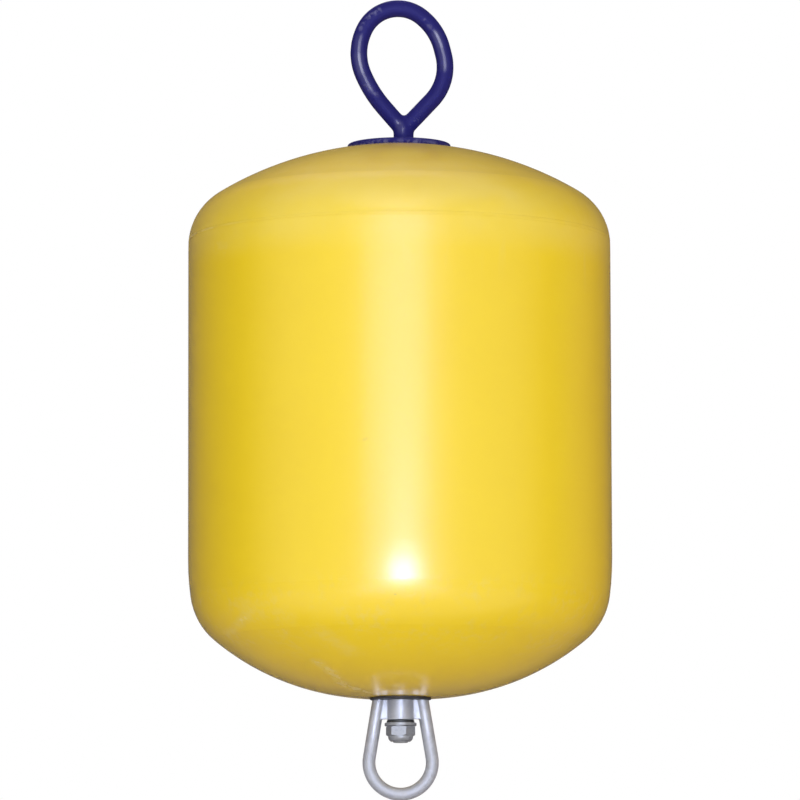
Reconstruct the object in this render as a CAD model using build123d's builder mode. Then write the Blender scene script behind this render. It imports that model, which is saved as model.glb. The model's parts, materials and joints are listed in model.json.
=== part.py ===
import os
from math import acos, cos, degrees, pi, radians, sin, tan

from build123d import *

# A moulded mooring buoy on a steel through rod, in millimetres.
# The rod is the Z axis, the pick-up eye is at the top and the swivel eye hangs at the bottom.
# The origin is on the axis at half the float's height, which is its working waterline.

# Float
float_diameter = 400
float_height = 520
float_skin_thickness = 4
top_land_diameter = 104
bottom_land_diameter = 64
# Each dome is three tangent arcs: a long easy shoulder, a knuckle and a flat crown.
# A slope is the angle, in degrees from the drum's side, at which that arc ends.
top_shoulder_radius = 285
top_shoulder_slope = 2
top_knuckle_radius = 55
top_knuckle_slope = 58.5
top_crown_radius = 325
bottom_shoulder_radius = 270
bottom_shoulder_slope = 7.7
bottom_knuckle_radius = 63
bottom_knuckle_slope = 50
bottom_crown_radius = 236

# Through rod
rod_diameter = 16
rod_fit_clearance = 0.3
rod_tip_chamfer = 1.5
rod_tip_stand_out = 0.5

# Top plate
top_plate_diameter = 98
top_plate_thickness = 6
top_plate_edge_radius = 2

# Pick-up eye
eye_bar_diameter = 16
eye_neck_diameter = 19
eye_neck_offset = 4.3
eye_neck_height = 14.6
eye_leg_spacing = 1
eye_weld_radius = 4
# Rows: distance right of the rod, height over the top plate, bend radius
eye_bends = [
    (-25.7, 49.1, 118),
    (-43.1, 88.2, 52),
    (-13.7, 151.6, 35.3),
    (36.5, 110.6, 56.4),
    (48.8, 60.9, 46.9),
]

# Bottom pad between the float and the swivel
bottom_pad_diameter = 58
bottom_pad_thickness = 2
bottom_pad_chamfer = 0.5

# Swivel eye
swivel_end_play = 0.5
swivel_bore_clearance = 0.1
swivel_boss_diameter = 25
swivel_boss_height = 19
swivel_boss_edge_radius = 0.8
swivel_bar_diameter = 12.1
swivel_bow_radius = 29.8
swivel_bow_drop = 58.8
swivel_leg_splay = 9.4
swivel_web_thickness = 8.5
swivel_web_lift = 1.2
swivel_web_blend_radius = 2

# Washers and lock nut under the swivel
thrust_washer_diameter = 26
thrust_washer_thickness = 2.3
thrust_washer_chamfer = 0.3
flat_washer_diameter = 30
flat_washer_thickness = 3
flat_washer_chamfer = 0.4
nut_sides = 6
nut_across_flats = 24
nut_turn = -8
nut_hex_height = 9.5
nut_collar_height = 5.6
nut_collar_diameter = 23.4
nut_collar_edge_radius = 4.8
nut_collar_mouth = 18.4
nut_chamfer_slope = 30
nut_thread_clearance = 0.15
nut_insert_height = 3.2
nut_insert_recess = 0.9
nut_insert_clearance = 0.05

# Heights along the rod
top_land_z = float_height / 2
bottom_land_z = -float_height / 2
top_plate_z = top_land_z + top_plate_thickness
bottom_pad_z = bottom_land_z - bottom_pad_thickness
boss_top_z = bottom_pad_z - swivel_end_play / 2
boss_bottom_z = boss_top_z - swivel_boss_height
thrust_washer_top_z = boss_bottom_z - swivel_end_play / 2
flat_washer_top_z = thrust_washer_top_z - thrust_washer_thickness
nut_top_z = flat_washer_top_z - flat_washer_thickness
nut_hex_bottom_z = nut_top_z - nut_hex_height
nut_bottom_z = nut_hex_bottom_z - nut_collar_height
rod_tip_z = nut_bottom_z - rod_tip_stand_out

rod_radius = rod_diameter / 2
rod_hole_radius = rod_radius + rod_fit_clearance


def dome_arcs(shoulder, knuckle, crown_radius, land_diameter):
    """A dome's arcs as rows of radius and turn, and its height. Shoulder and knuckle are radius and slope."""
    rows = []
    x = float_diameter / 2
    height = 0
    slope = 0
    for arc_radius, end_slope in (shoulder, knuckle):
        x += arc_radius * (cos(radians(end_slope)) - cos(radians(slope)))
        height += arc_radius * (sin(radians(end_slope)) - sin(radians(slope)))
        rows.append((arc_radius, end_slope - slope))
        slope = end_slope
    crown_centre_x = x - crown_radius * cos(radians(slope))
    crown_slope = degrees(acos((land_diameter / 2 - crown_centre_x) / crown_radius))
    height += crown_radius * (sin(radians(crown_slope)) - sin(radians(slope)))
    rows.append((crown_radius, crown_slope - slope))
    return rows, height


top_dome, top_dome_height = dome_arcs(
    (top_shoulder_radius, top_shoulder_slope),
    (top_knuckle_radius, top_knuckle_slope),
    top_crown_radius,
    top_land_diameter,
)
bottom_dome, bottom_dome_height = dome_arcs(
    (bottom_shoulder_radius, bottom_shoulder_slope),
    (bottom_knuckle_radius, bottom_knuckle_slope),
    bottom_crown_radius,
    bottom_land_diameter,
)

os.makedirs("parts", exist_ok=True)

# Float: the drum and both domes are one profile of tangent arcs, revolved round the rod.
# It is a closed skin with a centre tube for the rod, and the foam that fills it isn't modelled.
with BuildPart() as float_body:
    with BuildSketch(Plane.XZ):
        with BuildLine():
            side = Line(
                (float_diameter / 2, bottom_land_z + bottom_dome_height),
                (float_diameter / 2, top_land_z - top_dome_height),
            )
            for rows, start, heading, turn_sign in [
                (top_dome, side @ 1, (0, 1), 1),
                (bottom_dome, side @ 0, (0, -1), -1),
            ]:
                for arc_radius, arc_turn in rows:
                    arc = JernArc(start, heading, arc_radius, turn_sign * arc_turn)
                    start, heading = arc @ 1, arc % 1
                Line(start, (rod_hole_radius, start.Y))
            Line((rod_hole_radius, bottom_land_z), (rod_hole_radius, top_land_z))
        make_face()
        offset(amount=-float_skin_thickness, kind=Kind.INTERSECTION, mode=Mode.SUBTRACT)
    revolve(axis=Axis.Z)
float_body.part.label = "float_body"
export_step(float_body.part, "parts/float_body.step")

# Top plate, clamped on the float's upper land
with BuildPart() as top_plate:
    with BuildSketch(Plane.XY.offset(top_land_z)):
        Circle(top_plate_diameter / 2)
        Circle(rod_hole_radius, mode=Mode.SUBTRACT)
    extrude(amount=top_plate_thickness)
    rim_edges = top_plate.edges().filter_by(GeomType.CIRCLE).sort_by(SortBy.RADIUS)[-2:]
    fillet(rim_edges, top_plate_edge_radius)
top_plate.part.label = "top_plate"
export_step(top_plate.part, "parts/top_plate.step")

# Pick-up eye: a round bar bent into a pear, both ends run into a short neck
with BuildPart() as mooring_eye:
    apex_z = top_plate_z + eye_neck_height
    left_foot = (eye_neck_offset - eye_leg_spacing / 2, apex_z)
    right_foot = (eye_neck_offset + eye_leg_spacing / 2, apex_z)
    bend_points = [(x, top_plate_z + height) for x, height, _ in eye_bends]
    bend_radii = [bend_radius for _, _, bend_radius in eye_bends]
    with BuildLine(Plane.XZ):
        bent_bar = FilletPolyline(left_foot, *bend_points, right_foot, radius=bend_radii)
    bar_runs = bent_bar.edges().sort_by(bent_bar)
    crest_run = len(bar_runs) // 2
    for half_runs in (bar_runs[:crest_run], bar_runs[crest_run:]):
        half_bar = Wire(half_runs)
        with BuildSketch(Plane(half_bar @ 0, z_dir=half_bar % 0)):
            Circle(eye_bar_diameter / 2)
        sweep(path=half_bar)
    with BuildSketch(Plane((eye_neck_offset, 0, top_plate_z))):
        Circle(eye_neck_diameter / 2)
    extrude(amount=eye_neck_height)
    with Locations((eye_neck_offset, 0, apex_z)):
        Sphere(eye_neck_diameter / 2)
    weld_edges = mooring_eye.edges().filter_by(GeomType.BSPLINE)
    weld_edges += mooring_eye.edges().filter_by(GeomType.ELLIPSE)
    fillet(weld_edges, eye_weld_radius)
mooring_eye.part.label = "mooring_eye"
export_step(mooring_eye.part, "parts/mooring_eye.step")

# Through rod, from the top plate down to its threaded tip in the lock nut
with BuildPart() as through_rod:
    with BuildSketch(Plane.XY.offset(rod_tip_z)):
        Circle(rod_radius)
    extrude(amount=top_plate_z - rod_tip_z)
    chamfer(through_rod.edges().sort_by(Axis.Z)[0], rod_tip_chamfer)
through_rod.part.label = "through_rod"
export_step(through_rod.part, "parts/through_rod.step")

# Pad and washers: flat rings on the rod
# Rows: name, diameter, top height, thickness, rim chamfer
ring_rows = [
    ("bottom_pad", bottom_pad_diameter, bottom_land_z, bottom_pad_thickness, bottom_pad_chamfer),
    (
        "thrust_washer",
        thrust_washer_diameter,
        thrust_washer_top_z,
        thrust_washer_thickness,
        thrust_washer_chamfer,
    ),
    (
        "flat_washer",
        flat_washer_diameter,
        flat_washer_top_z,
        flat_washer_thickness,
        flat_washer_chamfer,
    ),
]
for ring_name, ring_diameter, ring_top, ring_thickness, ring_chamfer in ring_rows:
    with BuildPart() as ring:
        with BuildSketch(Plane.XY.offset(ring_top)):
            Circle(ring_diameter / 2)
            Circle(rod_hole_radius, mode=Mode.SUBTRACT)
        extrude(amount=-ring_thickness)
        chamfer(ring.edges().filter_by(GeomType.CIRCLE).sort_by(SortBy.RADIUS)[-2:], ring_chamfer)
    ring.part.label = ring_name
    export_step(ring.part, f"parts/{ring_name}.step")

# Swivel eye: a forged boss that turns on the rod, with a bow of round bar joined by side webs
leg_splay = radians(swivel_leg_splay)
bow_z = boss_top_z - swivel_bow_drop
leg_foot = (swivel_bow_radius * cos(leg_splay), bow_z + swivel_bow_radius * sin(leg_splay))


def leg_x(z):
    """Distance of a leg's centre line from the rod at height z."""
    return leg_foot[0] - (z - leg_foot[1]) * tan(leg_splay)


with BuildPart() as swivel_eye:
    leg_end_z = boss_top_z + swivel_bar_diameter
    with BuildLine(Plane.XZ) as bow_line:
        Line((leg_x(leg_end_z), leg_end_z), leg_foot)
        CenterArc((0, bow_z), swivel_bow_radius, swivel_leg_splay, -180 - 2 * swivel_leg_splay)
        Line((-leg_foot[0], leg_foot[1]), (-leg_x(leg_end_z), leg_end_z))
    with BuildSketch(Plane(bow_line.line @ 0, z_dir=bow_line.line % 0)):
        Circle(swivel_bar_diameter / 2)
    sweep()
    split(bisect_by=Plane.XY.offset(boss_top_z), keep=Keep.BOTTOM)
    web_bottom_z = boss_bottom_z + swivel_web_lift
    with BuildSketch(Plane.XZ):
        with BuildLine():
            Polyline(
                (leg_x(boss_top_z), boss_top_z),
                (leg_x(web_bottom_z), web_bottom_z),
                (-leg_x(web_bottom_z), web_bottom_z),
                (-leg_x(boss_top_z), boss_top_z),
                close=True,
            )
        make_face()
    extrude(amount=swivel_web_thickness / 2, both=True)
    with BuildSketch(Plane.XY.offset(boss_top_z)):
        Circle(swivel_boss_diameter / 2)
    extrude(amount=-swivel_boss_height)
    boss_foot = swivel_eye.edges().filter_by(GeomType.CIRCLE).sort_by_distance((0, 0, boss_bottom_z))[0]
    fillet(boss_foot, swivel_boss_edge_radius)
    web_corners = swivel_eye.faces().filter_by(Axis.Y).edges().filter_by(Axis.X, reverse=True)
    leg_corners = swivel_eye.edges().filter_by(GeomType.ELLIPSE).sort_by(Axis.Z)[:4]
    fillet(web_corners + leg_corners, swivel_web_blend_radius)
    with BuildSketch(Plane.XY.offset(boss_top_z)):
        Circle(rod_radius + swivel_bore_clearance)
    extrude(amount=-swivel_boss_height, mode=Mode.SUBTRACT)
swivel_eye.part.label = "swivel_eye"
export_step(swivel_eye.part, "parts/swivel_eye.step")

# Lock nut: a hexagon with chamfered corners and a rolled collar that holds the nylon insert
nut_corner_radius = nut_across_flats / 2 / cos(pi / nut_sides)
nut_corner_drop = (nut_corner_radius - nut_across_flats / 2) * tan(radians(nut_chamfer_slope))
insert_radius = nut_collar_mouth / 2
with BuildPart() as lock_nut:
    with BuildSketch(Plane.XY.offset(nut_top_z)):
        RegularPolygon(nut_across_flats / 2, nut_sides, major_radius=False, rotation=nut_turn)
    extrude(amount=-nut_hex_height)
    with BuildSketch(Plane.XZ):
        with BuildLine():
            Polyline(
                (0, nut_top_z),
                (nut_across_flats / 2, nut_top_z),
                (nut_corner_radius, nut_top_z - nut_corner_drop),
                (nut_corner_radius, nut_hex_bottom_z + nut_corner_drop),
                (nut_across_flats / 2, nut_hex_bottom_z),
                (0, nut_hex_bottom_z),
                close=True,
            )
        make_face()
    revolve(axis=Axis.Z, mode=Mode.INTERSECT)
    with BuildSketch(Plane.XY.offset(nut_hex_bottom_z)):
        Circle(nut_collar_diameter / 2)
    extrude(amount=-nut_collar_height)
    collar_lip = lock_nut.edges().filter_by(GeomType.CIRCLE).sort_by(Axis.Z)[0]
    fillet(collar_lip, nut_collar_edge_radius)
    with BuildSketch(Plane.XY.offset(nut_top_z)):
        Circle(rod_radius + nut_thread_clearance)
    extrude(amount=nut_bottom_z - nut_top_z, mode=Mode.SUBTRACT)
    with BuildSketch(Plane.XY.offset(nut_bottom_z)):
        Circle(insert_radius)
    extrude(amount=nut_insert_recess + nut_insert_height, mode=Mode.SUBTRACT)
lock_nut.part.label = "lock_nut"
export_step(lock_nut.part, "parts/lock_nut.step")

# Nylon ring inside the collar
with BuildPart() as nut_insert:
    with BuildSketch(Plane.XY.offset(nut_bottom_z + nut_insert_recess)):
        Circle(insert_radius - nut_insert_clearance)
        Circle(rod_radius + nut_thread_clearance, mode=Mode.SUBTRACT)
    extrude(amount=nut_insert_height - nut_insert_clearance)
nut_insert.part.label = "nut_insert"
export_step(nut_insert.part, "parts/nut_insert.step")
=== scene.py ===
import json
from math import cos, pi, radians, sin

import bmesh
import bpy
import numpy as np
from mathutils import Euler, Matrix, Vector


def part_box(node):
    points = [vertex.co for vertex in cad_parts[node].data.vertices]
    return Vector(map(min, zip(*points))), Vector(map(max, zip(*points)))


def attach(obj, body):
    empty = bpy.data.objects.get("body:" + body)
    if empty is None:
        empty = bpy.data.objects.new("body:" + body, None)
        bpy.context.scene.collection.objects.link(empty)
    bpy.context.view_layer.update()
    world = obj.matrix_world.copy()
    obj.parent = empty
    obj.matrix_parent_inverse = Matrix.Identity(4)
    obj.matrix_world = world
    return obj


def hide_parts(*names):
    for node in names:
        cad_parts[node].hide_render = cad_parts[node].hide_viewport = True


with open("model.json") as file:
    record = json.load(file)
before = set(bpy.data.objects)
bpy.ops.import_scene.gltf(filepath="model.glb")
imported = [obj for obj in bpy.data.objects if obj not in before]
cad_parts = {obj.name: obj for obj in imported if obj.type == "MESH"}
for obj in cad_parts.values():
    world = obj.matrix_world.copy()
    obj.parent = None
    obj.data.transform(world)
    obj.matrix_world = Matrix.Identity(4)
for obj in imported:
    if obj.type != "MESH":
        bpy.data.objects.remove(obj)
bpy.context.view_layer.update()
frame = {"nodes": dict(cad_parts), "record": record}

# Looks of a yellow mooring buoy with a blue pick-up eye and a galvanised swivel, in metres.
mm = 0.001


# Shader wiring: a socket that takes arithmetic, and one method for every other node.
class Wire:
    def __init__(self, tree, socket=None):
        self.tree = tree
        self.socket = socket

    def add(self, kind, settings=None, sockets=None, out=0):
        node = self.tree.nodes.new(kind)
        for name, value in (settings or {}).items():
            setattr(node, name, value)
        for name, value in (sockets or {}).items():
            if isinstance(value, Wire):
                self.tree.links.new(value.socket, node.inputs[name])
            else:
                node.inputs[name].default_value = value
        return Wire(self.tree, node.outputs[out])

    def math(self, operation, other=None):
        sockets = {0: self} if other is None else {0: self, 1: other}
        return self.add("ShaderNodeMath", {"operation": operation}, sockets)

    def vector(self, operation, other=None, out="Vector"):
        sockets = {0: self} if other is None else {0: self, 1: other}
        return self.add("ShaderNodeVectorMath", {"operation": operation}, sockets, out)

    def __add__(self, other):
        return self.math("ADD", other)

    def __sub__(self, other):
        return self.math("SUBTRACT", other)

    def __rsub__(self, other):
        return self.add("ShaderNodeMath", {"operation": "SUBTRACT"}, {0: other, 1: self})

    def __mul__(self, other):
        return self.math("MULTIPLY", other)

    def __truediv__(self, other):
        return self.math("DIVIDE", other)

    __radd__ = __add__
    __rmul__ = __mul__

    def most(self, other):
        return self.math("MAXIMUM", other)

    def clamp(self):
        return self.math("MAXIMUM", 0.0).math("MINIMUM", 1.0)

    # 0 at low, 1 at high, eased at both ends; low may lie above high
    def rise(self, low, high):
        settings = {"interpolation_type": "SMOOTHSTEP"}
        return self.add("ShaderNodeMapRange", settings, {"Value": self, "From Min": low, "From Max": high})

    # e to the minus square: 1 in the middle, soft at both sides
    def bell(self):
        return (self * self * -1.0).math("EXPONENT")

    # this wire as a mask: the low colour where it is 0, the high colour where it is 1
    def pick(self, low, high):
        return self.add("ShaderNodeMix", {"data_type": "RGBA"}, {0: self, 6: low, 7: high}, out=2)

    # this vector times a number
    def scaled(self, amount):
        return self.add("ShaderNodeVectorMath", {"operation": "SCALE"}, {0: self, "Scale": amount})

    def axes(self):
        split = self.add("ShaderNodeSeparateXYZ", {}, {0: self}).socket.node
        return [Wire(self.tree, output) for output in split.outputs]


def rgb(red, green, blue):
    return (red, green, blue, 1.0)


# A new material: returns it, its shader node and the place on the object.
def newMaterial(name, colour):
    material = bpy.data.materials.new(name)
    material.use_nodes = True
    material.diffuse_color = colour
    place = Wire(material.node_tree).add("ShaderNodeTexCoord", {}, {}, out="Object")
    return material, material.node_tree.nodes["Principled BSDF"], place


def plug(shader, sockets):
    for name, value in sockets.items():
        if isinstance(value, Wire):
            value.tree.links.new(value.socket, shader.inputs[name])
        else:
            shader.inputs[name].default_value = value


def noise(place, scale, detail=3.0, roughness=0.5, stretch=None):
    if stretch:
        place = place.add("ShaderNodeMapping", {}, {"Vector": place, "Scale": stretch})
    sockets = {"Vector": place, "Scale": scale, "Detail": detail, "Roughness": roughness}
    return place.add("ShaderNodeTexNoise", {}, sockets)


def bump(height, strength, distance, under=None):
    sockets = {"Height": height, "Strength": strength, "Distance": distance}
    if under:
        sockets["Normal"] = under
    return height.add("ShaderNodeBump", {}, sockets)


# Distance from the straight line between two points given in millimetres
def lineDistance(place, begin, end):
    first = Vector(begin) * mm
    run = Vector(end) * mm - first
    offset = place.vector("SUBTRACT", first)
    share = offset.vector("DOT_PRODUCT", run / run.length_squared, "Value").clamp()
    along = place.add("ShaderNodeVectorMath", {"operation": "SCALE"}, {0: run, "Scale": share})
    return offset.vector("SUBTRACT", along).vector("LENGTH", out="Value")


# The place pushed about by a noise, so that straight marks come out ragged
def ragged(place, scale, push):
    sockets = {"Vector": place, "Scale": scale, "Detail": 4.0}
    wander = place.add("ShaderNodeTexNoise", {}, sockets, out="Color")
    return place.vector("ADD", wander.vector("SUBTRACT", (0.5, 0.5, 0.5)).scaled(push))


# 1 between the two inner heights, easing to 0 at the two outer ones
def band(height, outerLow, innerLow, innerHigh, outerHigh):
    return height.rise(outerLow, innerLow) * height.rise(outerHigh, innerHigh)


# Rub marks: the strongest of the rows at each place, broken up by a mask
def rubMarks(place, rows, breakUp):
    marks = None
    for begin, end, half, strength in rows:
        mark = lineDistance(place, begin, end).rise(half * mm, 0.0) * strength
        marks = mark if marks is None else marks.most(mark)
    return marks * breakUp


floatLook = {
    "yellow": rgb(0.88, 0.605, 0.007),
    "deepYellow": rgb(0.84, 0.555, 0.005),
    "pale": rgb(0.80, 0.70, 0.38),
    "dark": rgb(0.50, 0.36, 0.05),
    "roughness": 0.18,
    "gloss": 0.6,
    "glossTint": rgb(0.10, 0.25, 1.0),
    "coat": 0.5,
    "coatRoughness": 0.18,
    "warp": 10.0 * mm,
    "warpScale": 70.0,
    "seamHeight": 173.4 * mm,
    "seamLine": 1.2 * mm,
    # noises: scale, detail, roughness, and the streaks' stretch
    "clouds": (7.0, 4.0, 0.55),
    "blotches": (26.0, 5.0, 0.6),
    "speckles": (130.0, 4.0, 0.6),
    "grit": (420.0, 2.0, 0.5),
    "streaks": (60.0, 3.0, 0.5, (1.0, 1.0, 0.12)),
    "seamGaps": (11.0, 2.0),
    "waves": (16.0, 2.0),
    # heights of the weathered bands, the first of them also a painted sheen: outer low, inner low, inner
    # high, outer high
    "chalkAndSheenBand": (0.135, 0.168, 0.190, 0.222),
    "lowFreckles": (-0.240, -0.205, -0.180, -0.150),
    "highFreckles": (0.140, 0.170, 0.185, 0.215),
    # how strongly each sort of weathering pales the yellow; the upper dome's chalk also stands for a
    # painted sheen of light from above
    "chalkAndSheen": 0.07,
    "runs": 0.10,
    "freckles": 0.13,
    "seamFaint": 0.08,
    "seamLeft": 0.36,
    # pale rubs on the lower front and under the seam: begin, end, half width, strength
    "rubs": [
        ((-187, -71, 165), (-161, -118, 153), 14.0, 0.13),
        ((-144, -127, -184), (-127, -139, -190), 17.0, 0.12),
        ((-127, -139, -190), (-104, -153, -195), 16.0, 0.11),
        ((-137, -132, -188), (-148, -108, -197), 9.0, 0.22),
        ((-148, -108, -197), (-162, -66, -206), 8.0, 0.18),
        ((-72, -151, -212), (-60, -147, -218), 17.0, 0.13),
        ((-60, -147, -218), (-48, -139, -226), 17.0, 0.12),
        ((-77, -106, -234), (-66, -97, -242), 11.0, 0.30),
        ((-66, -97, -242), (-54, -72, -251), 10.0, 0.34),
        ((-54, -67, -252), (-41, -56, -256), 8.0, 0.44),
        ((-41, -56, -256), (-28, -42, -258), 7.0, 0.48),
        ((126, -136, -205), (137, -125, -206), 13.0, 0.13),
    ],
    # small dark specks
    "specks": [
        ((-5, -194, -179), (-4, -194, -179), 1.4, 0.60),
        ((-33, -197, -37), (-30, -197, -36), 2.6, 0.25),
    ],
}


def floatSkin():
    look = floatLook
    material, shader, place = newMaterial("float_yellow_skin", look["yellow"])
    across, _, up = place.axes()
    clouds = noise(place, *look["clouds"])
    blotches = noise(place, *look["blotches"])
    speckles = noise(place, *look["speckles"])
    grit = noise(place, *look["grit"])
    streaks = noise(place, *look["streaks"])

    # weathering and painted light: the upper dome is pale in clouds, most of all round the seam, partly
    # chalky dust and partly a painted sheen of light from above; both shoulders carry bands of fine
    # speckles
    upper = up.rise(look["seamHeight"] - 7 * mm, look["seamHeight"] + 10 * mm)
    chalkAndSheen = upper * (blotches.rise(0.30, 0.75) * look["chalkAndSheen"] + 0.02)
    shoulder = band(up, *look["chalkAndSheenBand"]) * (blotches.rise(0.25, 0.70) + 1.0) * look["chalkAndSheen"]
    runs = up.rise(0.10, 0.17) * (1 - upper) * streaks.rise(0.55, 0.75) * look["runs"]
    freckled = band(up, *look["lowFreckles"]).most(band(up, *look["highFreckles"]) * 0.5)
    freckles = freckled * speckles.rise(0.42, 0.75) * blotches.rise(0.36, 0.62) * look["freckles"]

    # the seam shows as a pale line, broken here and there and plainest on the left
    seam = (up - look["seamHeight"]).math("ABSOLUTE").rise(look["seamLine"] * 1.6, look["seamLine"] * 0.4)
    seam = seam * noise(place, *look["seamGaps"]).rise(0.35, 0.65)
    seam = seam * (across.rise(-0.13, -0.19) * look["seamLeft"] + look["seamFaint"])

    frayed = ragged(place, look["warpScale"], look["warp"])
    rubs = rubMarks(frayed, look["rubs"], speckles.rise(0.30, 0.62) * 0.8 + 0.2)
    pale = chalkAndSheen.most(shoulder).most(runs).most(freckles).most(seam).most(rubs)
    specks = rubMarks(place, look["specks"], 1.0)

    colour = (clouds.rise(0.35, 0.75) * 0.35).pick(look["yellow"], look["deepYellow"])
    colour = specks.pick(pale.pick(colour, look["pale"]), look["dark"])
    waves = bump(noise(place, *look["waves"]), 0.08, 0.003)
    plug(shader, {
        "Base Color": colour,
        "Roughness": look["roughness"] + clouds * 0.05 + pale * 0.35,
        "Specular IOR Level": look["gloss"],
        "Specular Tint": look["glossTint"],
        "Coat Weight": (1 - pale) * look["coat"],
        "Coat Roughness": look["coatRoughness"],
        "Normal": bump(grit, 0.03, 0.0004, waves),
    })
    return material


blueLook = {
    "blue": rgb(0.0180, 0.0158, 0.152),
    "darkBlue": rgb(0.0128, 0.0110, 0.114),
    # pale tone of the worn places, also used for the painted highlight along the plate's rim
    "chalkAndSheen": rgb(0.16, 0.15, 0.32),
    "roughness": 0.45,
    "gloss": 0.08,
    "coatRoughness": 0.13,
    "warp": 5.0 * mm,
    "warpScale": 150.0,
    # noises: scale, detail, roughness
    "lumps": (55.0, 3.0, 0.5),
    "clouds": (30.0, 4.0, 0.6),
    "patches": (210.0, 4.0, 0.6),
    "specks": (520.0, 2.0, 0.6),
    # places on the front of the bar and in the crotch that shine: begin, end, half width, strength
    "shine": [
        ((-39.5, -8, 367), (-39, -8, 350), 8.5, 0.60),
        ((-39, -8, 350), (-37, -8, 335), 9.0, 1.00),
        ((-37, -8, 335), (-29, -8, 319), 8.5, 0.60),
        ((35, -8, 369), (38, -8, 360), 8.5, 1.00),
        ((38, -8, 360), (42, -8, 341), 9.0, 0.65),
        ((-1, -9, 284), (0, -9, 280), 7.0, 0.80),
    ],
    # rubbed places on the front of the bent bar, and along the plate's rim a painted highlight where its
    # upper edge catches the light, in the same form
    "rubs": [
        ((-28, -7, 388), (-19, -7, 394), 3.4, 0.75),
        ((-37, -7, 376), (-30, -7, 387), 3.2, 0.55),
        ((25, -7, 386), (31, -7, 377), 3.0, 0.45),
        ((-31, -7, 322), (-21, -7, 312), 3.4, 0.50),
        ((-45, -16, 261), (-31, -37, 261), 6.0, 0.60),
        ((-31, -37, 261), (-16, -45, 261), 6.0, 0.70),
        ((-16, -45, 261), (16, -45, 261), 7.0, 0.80),
        ((16, -45, 261), (31, -37, 261), 6.0, 0.70),
        ((31, -37, 261), (45, -16, 261), 6.0, 0.60),
    ],
}


def blueCoat():
    look = blueLook
    material, shader, place = newMaterial("blue_dipped_coat", look["blue"])
    lumps = noise(place, *look["lumps"])
    clouds = noise(place, *look["clouds"])
    patches = noise(place, *look["patches"])
    specks = noise(place, *look["specks"])
    frayed = ragged(place, look["warpScale"], look["warp"])
    wornAndRimSheen = clouds.rise(0.58, 0.74) * specks.rise(0.54, 0.70) * 0.30
    # the worn places are real wear, but the rows along the plate's rim paint a highlight on its upper edge
    wornAndRimSheen = wornAndRimSheen.most(rubMarks(frayed, look["rubs"], patches.rise(0.42, 0.60)))
    colour = wornAndRimSheen.pick(clouds.pick(look["darkBlue"], look["blue"]), look["chalkAndSheen"])

    # the coat is dull apart from these places
    shine = rubMarks(place, look["shine"], 1 - wornAndRimSheen)
    plug(shader, {
        "Base Color": colour,
        "Roughness": look["roughness"] + clouds * 0.10 + wornAndRimSheen * 0.2,
        "Specular IOR Level": look["gloss"],
        "Coat Weight": shine,
        "Coat Roughness": look["coatRoughness"],
        "Normal": bump(specks, 0.04, 0.0004, bump(lumps, 0.22, 0.0014)),
    })
    return material


# Zinc by hot dipping: crystal patches that differ a little in tone and shine, dulled by a grey bloom
zincLooks = {
    "rod_zinc": {
        "light": rgb(0.46, 0.47, 0.51),
        "dark": rgb(0.33, 0.34, 0.38),
        "metal": 0.45,
        "roughness": 0.40,
        "spangle": 300.0,
    },
    "forging_zinc": {
        "light": rgb(0.445, 0.445, 0.515),
        "dark": rgb(0.315, 0.315, 0.38),
        "metal": 0.30,
        "roughness": 0.47,
        "spangle": 240.0,
        # the boss and the upper legs shine more and are painted lighter, a painted highlight: heights of
        # none and all
        "shineAndHighlight": (-0.312, -0.288),
    },
    "nut_zinc": {
        "light": rgb(0.34, 0.34, 0.38),
        "dark": rgb(0.22, 0.22, 0.25),
        "metal": 0.45,
        "roughness": 0.38,
        "spangle": 500.0,
    },
}


def galvanised(name):
    look = zincLooks[name]
    material, shader, place = newMaterial(name, look["light"])
    cells = {"Vector": place, "Scale": look["spangle"]}
    crystals = place.add("ShaderNodeTexVoronoi", {}, cells, out="Color").axes()[0]
    clouds = noise(place, 90.0, 4.0, 0.6)
    grain = noise(place, 900.0, 3.0, 0.6)
    # painted highlight: the upper part is lighter in colour, as well as more metallic and smoother
    shineAndHighlight = 0.0
    if "shineAndHighlight" in look:
        shineAndHighlight = place.axes()[2].rise(*look["shineAndHighlight"]) * clouds.rise(0.30, 0.55)
    plug(shader, {
        "Base Color": (crystals * 0.45 + clouds * 0.55 + shineAndHighlight * 0.2).pick(look["dark"], look["light"]),
        "Metallic": look["metal"] + shineAndHighlight * 0.15,
        "Roughness": look["roughness"] + crystals * 0.10 + clouds * 0.08 - shineAndHighlight * 0.12,
        "Normal": bump(grain, 0.08, 0.0002, bump(clouds, 0.12, 0.0008)),
    })
    return material


# Black rubber or plastic: dusty in soft clouds, with a fine grain
mouldingLooks = {
    "pad_rubber": {
        "black": rgb(0.022, 0.020, 0.024),
        "dust": rgb(0.060, 0.055, 0.060),
        "roughness": 0.55,
        "grain": 700.0,
    },
    "washer_plastic": {
        "black": rgb(0.016, 0.016, 0.020),
        "dust": rgb(0.040, 0.040, 0.045),
        "roughness": 0.40,
        "grain": 900.0,
    },
}


def blackMoulding(name):
    look = mouldingLooks[name]
    material, shader, place = newMaterial(name, look["black"])
    clouds = noise(place, 60.0, 3.0, 0.5)
    plug(shader, {
        "Base Color": (clouds.rise(0.45, 0.8) * 0.5).pick(look["black"], look["dust"]),
        "Roughness": look["roughness"] + clouds * 0.15,
        "Normal": bump(noise(place, look["grain"], 3.0, 0.6), 0.2, 0.0003),
    })
    return material


nylonLook = {"light": rgb(0.74, 0.74, 0.70), "dark": rgb(0.58, 0.58, 0.54), "roughness": 0.4}


def nylon():
    look = nylonLook
    material, shader, place = newMaterial("nylon_insert", look["light"])
    clouds = noise(place, 150.0, 3.0)
    plug(shader, {
        "Base Color": clouds.pick(look["dark"], look["light"]),
        "Roughness": look["roughness"] + clouds * 0.15,
        "Normal": bump(clouds, 0.1, 0.0002),
    })
    return material


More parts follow.
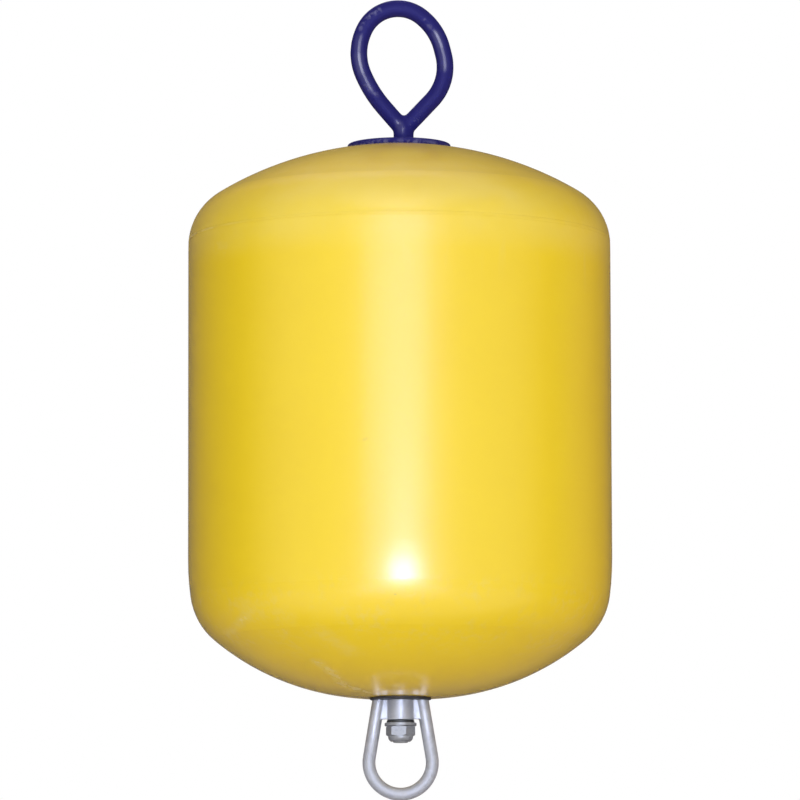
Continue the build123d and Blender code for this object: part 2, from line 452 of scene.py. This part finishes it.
finishes = {
    "float_yellow": floatSkin(),
    "blue_coating": blueCoat(),
    "galvanised_rod": galvanised("rod_zinc"),
    "galvanised_forging": galvanised("forging_zinc"),
    "zinc_hardware": galvanised("nut_zinc"),
    "black_rubber": blackMoulding("pad_rubber"),
    "black_plastic": blackMoulding("washer_plastic"),
    "nylon": nylon(),
}
for part in frame["record"]["subparts"]:
    node = frame["nodes"][part["node"]]
    node.data.materials.clear()
    node.data.materials.append(finishes[part["material_slot"]])
print("finishes:", len(finishes), "materials on the nodes")


# Quads between neighbours of a grid of point numbers, closed round where asked
def gridQuads(rows, columns, closeRows, closeColumns):
    ids = np.arange(rows * columns).reshape(rows, columns)
    if closeRows:
        ids = np.vstack([ids, ids[:1]])
    if closeColumns:
        ids = np.hstack([ids, ids[:, :1]])
    return np.stack([ids[:-1, :-1], ids[:-1, 1:], ids[1:, 1:], ids[1:, :-1]], axis=-1).reshape(-1, 4)


def meshFrom(name, points, faces):
    mesh = bpy.data.meshes.new(name)
    mesh.from_pydata(points.tolist(), [], faces)
    mesh.validate()
    mesh.shade_smooth()
    piece = bpy.data.objects.new(name, mesh)
    bpy.context.scene.collection.objects.link(piece)
    return piece


# A surface from an array of points, rows by columns
def gridMesh(name, points, closeRows=False, closeColumns=False):
    rows, columns, _ = points.shape
    quads = gridQuads(rows, columns, closeRows, closeColumns)
    return meshFrom(name, points.reshape(-1, 3), quads.tolist())


def dress(piece, body, slotName):
    piece.data.materials.append(finishes[slotName])
    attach(piece, body)


# Mould seam: a low ridge round the upper shoulder, where the two halves of the mould met
seamBead = {
    "radius": 199.66 * mm,
    "slope": radians(4.8),
    "halfWidth": 1.3 * mm,
    "stand": 0.06 * mm,
    "around": 720,
    "across": 12,
}


# An ellipse, wide along the skin and low across it, carried round the rod's axis.
def makeSeamBead():
    s = seamBead
    turn = np.linspace(0, 2 * pi, s["around"], endpoint=False)[None, :]
    side = np.linspace(0, 2 * pi, s["across"], endpoint=False)[:, None]
    out = s["stand"] * np.cos(side)
    along = s["halfWidth"] * np.sin(side)
    radius = s["radius"] + out * cos(s["slope"]) - along * sin(s["slope"])
    height = floatLook["seamHeight"] + out * sin(s["slope"]) + along * cos(s["slope"])
    points = np.stack([radius * np.cos(turn), radius * np.sin(turn), height + 0 * turn], axis=-1)
    dress(gridMesh("mould_seam", points, True, True), "buoy", "float_yellow")


makeSeamBead()


# Dipped eye: the coat rounds the corners where the two legs of the bar run into the neck
dippedEye = {"voxel": 0.9 * mm, "smoothing": 0.5, "passes": 14, "thicker": 0.12 * mm}


# The solid's own surface, filled again on a fine grid, then smoothed and let out by the coat's thickness.
def makeDippedEye():
    e = dippedEye
    mesh = frame["nodes"]["mooring_eye"].data.copy()
    work = bmesh.new()
    work.from_mesh(mesh)
    bmesh.ops.remove_doubles(work, verts=work.verts, dist=0.001 * mm)
    work.to_mesh(mesh)
    work.free()
    draft = bpy.data.objects.new("eye_draft", mesh)
    bpy.context.scene.collection.objects.link(draft)
    remesh = draft.modifiers.new("fill", "REMESH")
    remesh.mode = "VOXEL"
    remesh.voxel_size = e["voxel"]
    smooth = draft.modifiers.new("smooth", "SMOOTH")
    smooth.factor = e["smoothing"]
    smooth.iterations = e["passes"]
    swell = draft.modifiers.new("swell", "DISPLACE")
    swell.mid_level = 0.0
    swell.strength = e["thicker"]
    evaluated = draft.evaluated_get(bpy.context.evaluated_depsgraph_get())
    coat = bpy.data.meshes.new_from_object(evaluated)
    coat.name = "dipped_eye"
    coat.materials.clear()
    coat.shade_smooth()
    bpy.data.objects.remove(draft)
    piece = bpy.data.objects.new("dipped_eye", coat)
    bpy.context.scene.collection.objects.link(piece)
    dress(piece, "buoy", "blue_coating")
    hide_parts("mooring_eye")


makeDippedEye()


# Weld bead between the eye's neck and the top plate, under the blue coat
weldBead = {
    "neckOffset": 4.3 * mm,
    "neckRadius": 9.5 * mm,
    "throat": 1.9 * mm,
    "ripple": 0.22 * mm,
    "ripples": 34,
    "swells": 3,
    "swell": 0.8,
    "around": 408,
    "across": 14,
}


# A round section in the corner of neck and plate, swelling and thinning with each ripple.
def makeWeldBead():
    w = weldBead
    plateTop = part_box("top_plate")[1].z
    turn = np.linspace(0, 2 * pi, w["around"], endpoint=False)[None, :]
    side = np.linspace(0, 2 * pi, w["across"], endpoint=False)[:, None]
    swelling = w["swell"] * np.sin(w["swells"] * turn + 1.0)
    size = w["throat"] + w["ripple"] * (np.abs(np.sin(turn * w["ripples"] / 2)) + swelling)
    radius = w["neckRadius"] + size * (0.25 + np.cos(side))
    height = plateTop + size * (0.25 + np.sin(side))
    points = np.stack([w["neckOffset"] + radius * np.cos(turn), radius * np.sin(turn), height], axis=-1)
    dress(gridMesh("neck_weld", points, True, True), "buoy", "blue_coating")


makeWeldBead()


# Through rod with its rolled thread at the lower end
rodThread = {
    "pitch": 2.0 * mm,
    "depth": 1.1 * mm,
    "threaded": 26.0 * mm,
    "runOut": 3.0 * mm,
    "tipChamfer": 1.5 * mm,
    "creaseAngle": radians(35),
    "around": 96,
    "perPitch": 12,
}


# A helix cut into a round bar: the groove's depth is a blunt triangle wave of height minus turn.
# Both ends are closed by a ring at half the radius and a fan to the axis.
def makeRod():
    t = rodThread
    low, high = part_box("through_rod")
    barRadius = (high.x - low.x) / 2
    turn = np.linspace(0, 2 * pi, t["around"], endpoint=False)[None, :]
    threadRows = int(t["threaded"] / t["pitch"] * t["perPitch"])
    rise = np.concatenate([np.linspace(0, t["threaded"], threadRows), [high.z - low.z]])[:, None]
    wave = np.abs(((rise / t["pitch"] - turn / (2 * pi)) % 1.0) * 2 - 1)
    groove = np.clip((wave - 0.12) / 0.7, 0, 1)
    fade = np.clip((t["threaded"] - rise) / t["runOut"], 0, 1)
    radius = np.minimum(barRadius - t["depth"] * groove * fade, barRadius - t["tipChamfer"] + rise)
    bar = np.stack([radius * np.cos(turn), radius * np.sin(turn), low.z + rise + 0 * turn], axis=-1)
    inward = np.array([0.5, 0.5, 1.0])
    bar = np.concatenate([bar[:1] * inward, bar, bar[-1:] * inward])
    rows, columns, _ = bar.shape
    quads = gridQuads(rows, columns, False, True)
    ring = np.arange(columns)
    nextRing = np.roll(ring, -1)
    lowPole = rows * columns
    topRow = lowPole - columns
    fanLow = np.stack([nextRing, ring, np.full(columns, lowPole)], axis=-1)
    fanHigh = np.stack([topRow + ring, topRow + nextRing, np.full(columns, lowPole + 1)], axis=-1)
    points = np.concatenate([bar.reshape(-1, 3), [[0, 0, low.z], [0, 0, high.z]]])
    rod = meshFrom("threaded_rod", points, quads.tolist() + fanLow.tolist() + fanHigh.tolist())
    rod.data.set_sharp_from_angle(angle=t["creaseAngle"])
    dress(rod, "buoy", "galvanised_rod")
    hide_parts("through_rod")


makeRod()
print("pieces: mould seam, dipped eye, neck weld and threaded rod")


# Camera: close to level, looking up a little from floor height
view = {
    "aim": Vector((0.275, 0.0, 21.9)) * mm,
    "distance": 6.5,
    "upward": radians(6.5),
    "roll": radians(-0.15),
    "frameWidth": 0.7565,
    "sensor": 36.0,
    "reach": 100.0,
}


def makeCamera():
    v = view
    data = bpy.data.cameras.new("camera")
    data.sensor_width = v["sensor"]
    data.lens = v["sensor"] * v["distance"] / v["frameWidth"]
    data.clip_end = v["reach"]
    camera = bpy.data.objects.new("camera", data)
    back = Vector((0, -cos(v["upward"]), -sin(v["upward"])))
    camera.location = v["aim"] + back * v["distance"]
    turn = Euler((pi / 2 + v["upward"], 0, 0)).to_matrix() @ Euler((0, 0, v["roll"])).to_matrix()
    camera.rotation_euler = turn.to_euler()
    bpy.context.scene.collection.objects.link(camera)
    bpy.context.scene.camera = camera


makeCamera()


# Studio: a white room to the camera and in mirrors, and a soft warm light from all round
studio = {
    "ambient": 0.32,
    "ambientTint": rgb(1.0, 0.78, 0.88),
}


# 1 where a ray comes from the camera, a mirror or glass
def seenRays(start):
    path = start.add("ShaderNodeLightPath").socket.node
    seen = Wire(start.tree, path.outputs["Is Camera Ray"])
    for name in ("Is Glossy Ray", "Is Transmission Ray"):
        seen = seen.most(Wire(start.tree, path.outputs[name]))
    return seen


def makeWorld():
    s = studio
    world = bpy.data.worlds.new("studio")
    world.use_nodes = True
    bpy.context.scene.world = world
    background = world.node_tree.nodes["Background"]
    seen = seenRays(Wire(world.node_tree))
    plug(background, {
        "Color": seen.pick(s["ambientTint"], rgb(1, 1, 1)),
        "Strength": seen * (1 - s["ambient"]) + s["ambient"],
    })


makeWorld()


# A studio card that only mirrored rays see
def stageCard(name, points, material):
    card = gridMesh(name, points)
    card.data.materials.append(material)
    card.visible_camera = False
    card.visible_diffuse = False
    card.visible_transmission = False
    card.visible_shadow = False


def cardMaterial(name):
    material = bpy.data.materials.new(name)
    material.use_nodes = True
    tree = material.node_tree
    tree.nodes.remove(tree.nodes["Principled BSDF"])
    return material, Wire(tree).add("ShaderNodeTexCoord", {}, {}, out="Object")


def showSurface(material, result):
    tree = material.node_tree
    tree.links.new(result.socket, tree.nodes["Material Output"].inputs["Surface"])


# Light added to what lies behind the card
def addGlow(material, place, tint, level):
    glow = place.add("ShaderNodeEmission", {}, {"Color": tint, "Strength": level})
    clear = place.add("ShaderNodeBsdfTransparent")
    showSurface(material, place.add("ShaderNodeAddShader", {}, {0: glow, 1: clear}))


# Tall soft panel in front: a band with a wider skirt, and a narrow flame in its lower part
frontPanel = {
    "sideways": 0.05,
    "forward": -1.7,
    "foot": -0.72,
    "head": 1.00,
    "halfWidth": 1.6,
    "bandWidth": 0.52,
    "bandLevel": 2.25,
    "bandTop": 0.45,
    "skirtWidth": 0.95,
    "skirtLevel": 0.5,
    "footSoft": 0.26,
    "tint": rgb(0.66, 0.76, 1.0),
    # the flame's width, and the heights between which each of its steps comes in
    "flameWidth": 0.21,
    "flames": [
        {"level": 4.5, "top": 0.14, "full": -0.10},
        {"level": 21.0, "top": -0.08, "full": -0.36},
    ],
}


# A flat upright rectangle: rows run up, columns run across.
def makeFrontPanel():
    c = frontPanel
    up = np.array([c["foot"], c["head"]])[:, None]
    across = np.array([-c["halfWidth"], c["halfWidth"]])[None, :] + c["sideways"]
    points = np.stack([across + 0 * up, c["forward"] + 0 * up * across, up + 0 * across], axis=-1)
    material, place = cardMaterial("front_panel_light")
    sideways, _, height = place.axes()
    sideways = sideways - c["sideways"]
    strip = (sideways / c["bandWidth"]).bell() * c["bandLevel"]
    skirt = (sideways / c["skirtWidth"]).bell() * c["skirtLevel"]
    flame = (sideways / c["flameWidth"]).bell()
    level = (strip + skirt) * height.rise(c["head"], c["bandTop"])
    for step in c["flames"]:
        level = level + flame * step["level"] * height.rise(step["top"], step["full"])
    level = level * height.rise(c["foot"], c["foot"] + c["footSoft"])
    addGlow(material, place, c["tint"], level)
    stageCard("front_panel", points, material)


makeFrontPanel()


# Panel overhead, brighter towards the front
roofPanel = {"height": 2.2, "front": -4.5, "back": 1.0, "halfWidth": 2.0, "softness": 1.3, "level": 2.6}


# A flat level rectangle: rows run back, columns run across.
def makeRoofPanel():
    c = roofPanel
    depth = np.array([c["front"], c["back"]])[:, None]
    across = np.array([-c["halfWidth"], c["halfWidth"]])[None, :]
    points = np.stack([across + 0 * depth, depth + 0 * across, c["height"] + 0 * depth * across], axis=-1)
    material, place = cardMaterial("roof_panel_light")
    sideways, depth, _ = place.axes()
    fall = depth.rise(c["back"], c["front"])
    addGlow(material, place, rgb(1, 1, 1), (sideways / c["softness"]).bell() * fall * c["level"])
    stageCard("roof_panel", points, material)


makeRoofPanel()


# Grey curtain round the sides and the back, fading out towards the front
curtain = {
    "radius": 1.5,
    "foot": -0.72,
    "head": 5.0,
    "topSoft": 4.2,
    "sideHead": 1.9,
    "sideSoft": 1.5,
    "headFrom": -0.40,
    "headTo": 0.75,
    "opening": radians(45),
    "columns": 97,
    "fadeFrom": -1.05,
    "fadeTo": 0.06,
    "leftTone": 0.12,
    "rightTone": 0.10,
}


# An upright sheet on an arc round the rod's axis, open at the front, lower at the sides than behind.
def makeCurtain():
    c = curtain
    up = np.array([c["foot"], c["head"]])[:, None]
    turn = np.linspace(c["opening"], 2 * pi - c["opening"], c["columns"])[None, :]
    across = c["radius"] * np.sin(turn) + 0 * up
    back = -c["radius"] * np.cos(turn) + 0 * up
    points = np.stack([across, back, up + 0 * turn], axis=-1)
    material, place = cardMaterial("curtain_grey")
    sideways, depth, height = place.axes()
    tone = sideways.rise(-0.5, 0.5) * (c["rightTone"] - c["leftTone"]) + c["leftTone"]
    cloth = place.add("ShaderNodeEmission", {}, {"Color": rgb(1, 1, 1), "Strength": tone})
    clear = place.add("ShaderNodeBsdfTransparent")
    behind = depth.rise(c["headFrom"], c["headTo"])
    top = behind * (c["head"] - c["sideHead"]) + c["sideHead"]
    soft = behind * (c["topSoft"] - c["sideSoft"]) + c["sideSoft"]
    opacity = depth.rise(c["fadeFrom"], c["fadeTo"]) * ((top - height) / soft).rise(0.0, 1.0)
    showSurface(material, place.add("ShaderNodeMixShader", {}, {0: opacity, 1: clear, 2: cloth}))
    stageCard("curtain", points, material)


makeCurtain()


# Apron just over the floor as mirrors see it: a pool of light in front, shade under and behind the buoy
apron = {
    "height": -0.72,
    "radius": 3.4,
    "fadeFrom": 1.6,
    "frontTone": 0.95,
    "shadeTone": 0.18,
    "shadeFrom": -0.45,
    "shadeTo": -0.05,
    "poolLevel": 5.0,
    "poolWidth": 0.5,
    "poolFrom": -0.45,
    "poolTo": -1.70,
    "tint": rgb(1.0, 0.97, 0.95),
    "rings": 12,
    "around": 64,
}


# A flat disc: rings of growing radius, the first of them tiny.
def makeApron():
    c = apron
    turn = np.linspace(0, 2 * pi, c["around"] + 1)[None, :]
    radius = c["radius"] * np.linspace(0.0005, 1, c["rings"])[:, None]
    level = c["height"] + 0 * radius * turn
    points = np.stack([radius * np.cos(turn), radius * np.sin(turn), level], axis=-1)
    material, place = cardMaterial("apron_grey")
    sideways, depth, _ = place.axes()
    pool = (sideways / c["poolWidth"]).bell() * depth.rise(c["poolFrom"], c["poolTo"]) * c["poolLevel"]
    shade = depth.rise(c["shadeFrom"], c["shadeTo"])
    tone = shade * (c["shadeTone"] - c["frontTone"]) + c["frontTone"] + pool
    cloth = place.add("ShaderNodeEmission", {}, {"Color": c["tint"], "Strength": tone})
    clear = place.add("ShaderNodeBsdfTransparent")
    opacity = place.vector("LENGTH", out="Value").rise(c["radius"], c["fadeFrom"])
    showSurface(material, place.add("ShaderNodeMixShader", {}, {0: opacity, 1: clear, 2: cloth}))
    stageCard("apron", points, material)


makeApron()


# Soft lamps, which mirrored rays don't see: a broad key by the camera, a fill behind and one at the right
lamps = {
    "key": {"place": (-0.14, -4.0, -0.1), "size": 2.4, "watts": 150.0, "tint": (0.94, 1.12, 1.03)},
    "side": {"place": (2.4, 0.9, 0.2), "size": 1.5, "watts": 18.0, "tint": (1.0, 0.88, 0.72)},
    "behind": {"place": (-0.6, 2.4, 3.4), "size": 2.4, "watts": 130.0, "tint": (1.0, 0.95, 0.92)},
}


def makeLamps():
    for name, row in lamps.items():
        data = bpy.data.lights.new(name, "AREA")
        data.size = row["size"]
        data.energy = row["watts"]
        data.color = row["tint"]
        lamp = bpy.data.objects.new(name, data)
        lamp.location = row["place"]
        lamp.rotation_euler = (view["aim"] - lamp.location).to_track_quat("-Z", "Y").to_euler()
        lamp.visible_glossy = False
        lamp.visible_camera = False
        bpy.context.scene.collection.objects.link(lamp)


makeLamps()


# Upright soft lamp that only the dipped eye mirrors, for the glints along its bar
glint = {"place": (0.0, -1.9, 0.57), "width": 1.2, "height": 0.6, "watts": 13.0}


def makeGlint():
    data = bpy.data.lights.new("glint", "AREA")
    data.shape = "RECTANGLE"
    data.size = glint["width"]
    data.size_y = glint["height"]
    data.energy = glint["watts"]
    lamp = bpy.data.objects.new("glint", data)
    lamp.location = glint["place"]
    lamp.rotation_euler = (pi / 2, 0, 0)
    lamp.visible_camera = False
    lamp.visible_diffuse = False
    lamp.visible_transmission = False
    shown = bpy.data.collections.new("glint_pieces")
    shown.objects.link(bpy.data.objects["dipped_eye"])
    lamp.light_linking.receiver_collection = shown
    bpy.context.scene.collection.objects.link(lamp)


makeGlint()


# Floor: pale, at the camera's height, white in the distance and open from below
floorLook = {
    "height": view["aim"].z - view["distance"] * sin(view["upward"]) - 0.02,
    "radius": 14.0,
    "rings": 24,
    "around": 64,
    "pale": rgb(0.72, 0.69, 0.64),
    "roughness": 0.7,
    "fadeFrom": 1.2,
    "fadeTo": 4.5,
}


# A flat disc: rings of growing radius, the first of them tiny.
def makeFloor():
    f = floorLook
    turn = np.linspace(0, 2 * pi, f["around"], endpoint=False)[None, :]
    radius = f["radius"] * np.linspace(0.0005, 1, f["rings"])[:, None] ** 1.5
    level = f["height"] + 0 * radius * turn
    points = np.stack([radius * np.cos(turn), radius * np.sin(turn), level], axis=-1)
    floor = gridMesh("floor", points, False, True)
    floor.data.flip_normals()
    material, shader, place = newMaterial("floor_pale", f["pale"])
    plug(shader, {"Base Color": f["pale"], "Roughness": f["roughness"]})
    far = place.vector("LENGTH", out="Value").rise(f["fadeFrom"], f["fadeTo"]) * seenRays(place)
    white = place.add("ShaderNodeEmission", {}, {"Color": rgb(1, 1, 1), "Strength": 1.0})
    top = place.add("ShaderNodeMixShader", {}, {0: far, 1: Wire(place.tree, shader.outputs[0]), 2: white})
    below = place.add("ShaderNodeNewGeometry", {}, {}, out="Backfacing")
    clear = place.add("ShaderNodeBsdfTransparent")
    showSurface(material, place.add("ShaderNodeMixShader", {}, {0: below, 1: top, 2: clear}))
    floor.data.materials.append(material)


makeFloor()
bpy.context.scene.view_settings.view_transform = "Standard"
print("studio: camera, world, cards, lamps and floor")
